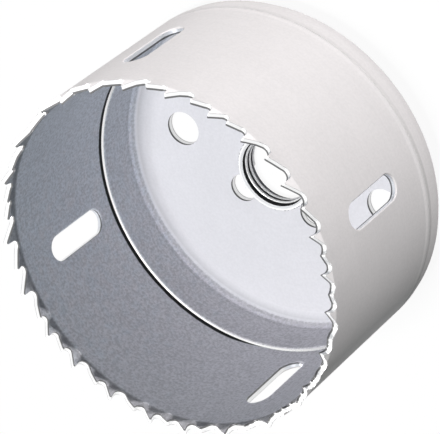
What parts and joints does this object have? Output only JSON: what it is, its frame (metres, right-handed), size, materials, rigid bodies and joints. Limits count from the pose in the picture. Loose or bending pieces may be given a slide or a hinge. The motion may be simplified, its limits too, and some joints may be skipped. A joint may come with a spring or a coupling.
{
  "type": "hole saw",
  "caption": "Round steel cup with a toothed rim, long side slots, and a tapped hole with drive pin holes in its flat end, for sawing large round holes.",
  "frame": {"origin": "middle of the end cap's flat back face, on the saw's axis", "axes": "+Z along the axis from the back towards the tooth tips; +X lies 5.7 degrees short of the middle of the first side slot"},
  "size_m": [0.0788, 0.0788, 0.0488],
  "materials": {
    "painted_strip": "thin pale grey paint over rolled strip, bare steel at the teeth and cut edges",
    "painted_cap": "thin pale grey paint over pressed sheet, bare steel at the thread's mouth and weld",
    "bare_steel": "freshly cut bright steel of the thread"
  },
  "bodies": {
    "root": {"rim": "painted_strip", "end_cap": "painted_cap"}
  },
  "joints": []
}
